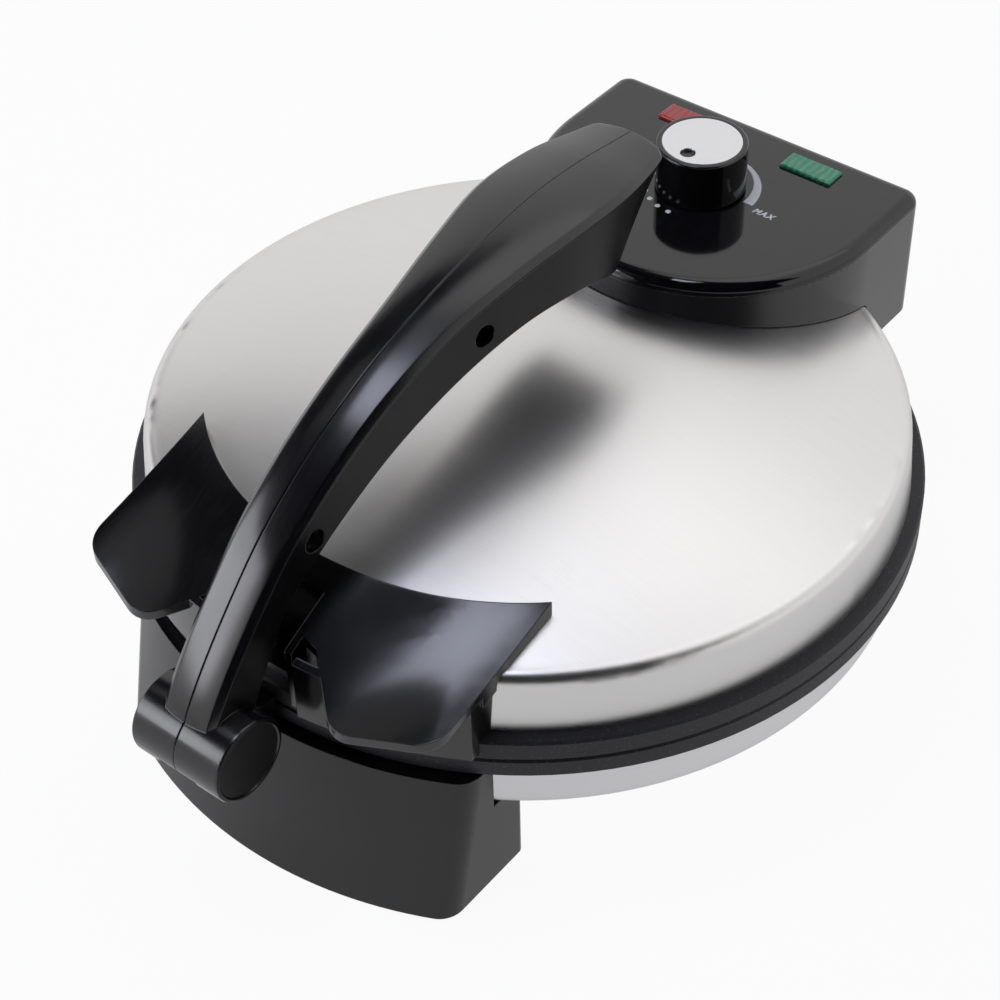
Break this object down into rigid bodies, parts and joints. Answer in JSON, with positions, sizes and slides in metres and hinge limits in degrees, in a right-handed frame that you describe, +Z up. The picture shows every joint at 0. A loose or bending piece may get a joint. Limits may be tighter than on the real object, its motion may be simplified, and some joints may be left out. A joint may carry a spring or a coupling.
{
  "type": "electric roti maker",
  "caption": "Closed electric roti maker with a brushed steel lid, black pressing lever, lifting wings and a thermostat knob on the lid's control box.",
  "frame": {"origin": "middle of the closed appliance's bounding box, on the worktop", "axes": "+X to the right, +Y from the lever's hinge in front to the lid's hinge behind, +Z up"},
  "size_m": [0.27, 0.3185, 0.174],
  "materials": {
    "brushed_steel": "brushed",
    "pan_steel": "satin",
    "plain_steel": "plain",
    "coated_casting": "non-stick coated",
    "shield_aluminium": "mill",
    "black_moulding": "gloss",
    "panel_plastic": "gloss",
    "lever_plastic": "satin gloss",
    "foot_rubber": "matte",
    "terminal_ceramic": "matte",
    "green_lens": "clear",
    "red_lens": "clear",
    "lamp_glass": "clear",
    "thermostat_steel": "plated",
    "brass_nut": "plain",
    "cap_aluminium": "satin"
  },
  "bodies": {
    "base": {"base_pan": "pan_steel", "lower_plate": "coated_casting", "lower_element": "plain_steel", "lower_heat_shield": "shield_aluminium", "lower_studs": "plain_steel", "pan_screw": "plain_steel", "front_foot": "black_moulding", "rear_housing": "black_moulding", "housing_cover": "black_moulding", "rubber_feet": "foot_rubber", "cord_gland": "foot_rubber", "terminal_block": "terminal_ceramic", "foot_screws": "plain_steel", "cover_screws": "plain_steel", "hinge_pins": "plain_steel", "lever_pin": "plain_steel"},
    "lid": {"lid_shell": "brushed_steel", "upper_plate": "coated_casting", "upper_element": "plain_steel", "upper_heat_shield": "shield_aluminium", "upper_studs": "plain_steel", "front_bracket": "black_moulding", "control_box": "black_moulding", "control_panel": "panel_plastic", "green_lamp": "green_lens", "red_lamp": "red_lens", "glow_lamps": "lamp_glass", "thermostat": "thermostat_steel", "thermostat_nut": "brass_nut", "lid_screws": "plain_steel"},
    "lever": {"lever_right": "lever_plastic", "lever_left": "lever_plastic", "lever_screws": "plain_steel"},
    "dial": {"knob": "panel_plastic", "knob_cap": "cap_aluminium", "thermostat_spindle": "plain_steel"}
  },
  "joints": [
    {"name": "lid_hinge", "type": "hinge", "parent": "base", "child": "lid", "pos_m": [0, 0.15125, 0.06], "axis": [-1, 0, 0], "range_deg": [0, 85]},
    {"name": "lever_hinge", "type": "hinge", "parent": "base", "child": "lever", "pos_m": [0, -0.14475, 0.0674], "axis": [1, 0, 0], "range_deg": [0, 153]},
    {"name": "knob_turn", "type": "hinge", "parent": "lid", "child": "dial", "pos_m": [0, 0.11515, 0.13], "axis": [0, 0, -1], "range_deg": [0, 270]}
  ],
  "couplings": [
    {"joint": "lever_hinge", "follows": "lid_hinge", "ratio": 1.8}
  ]
}
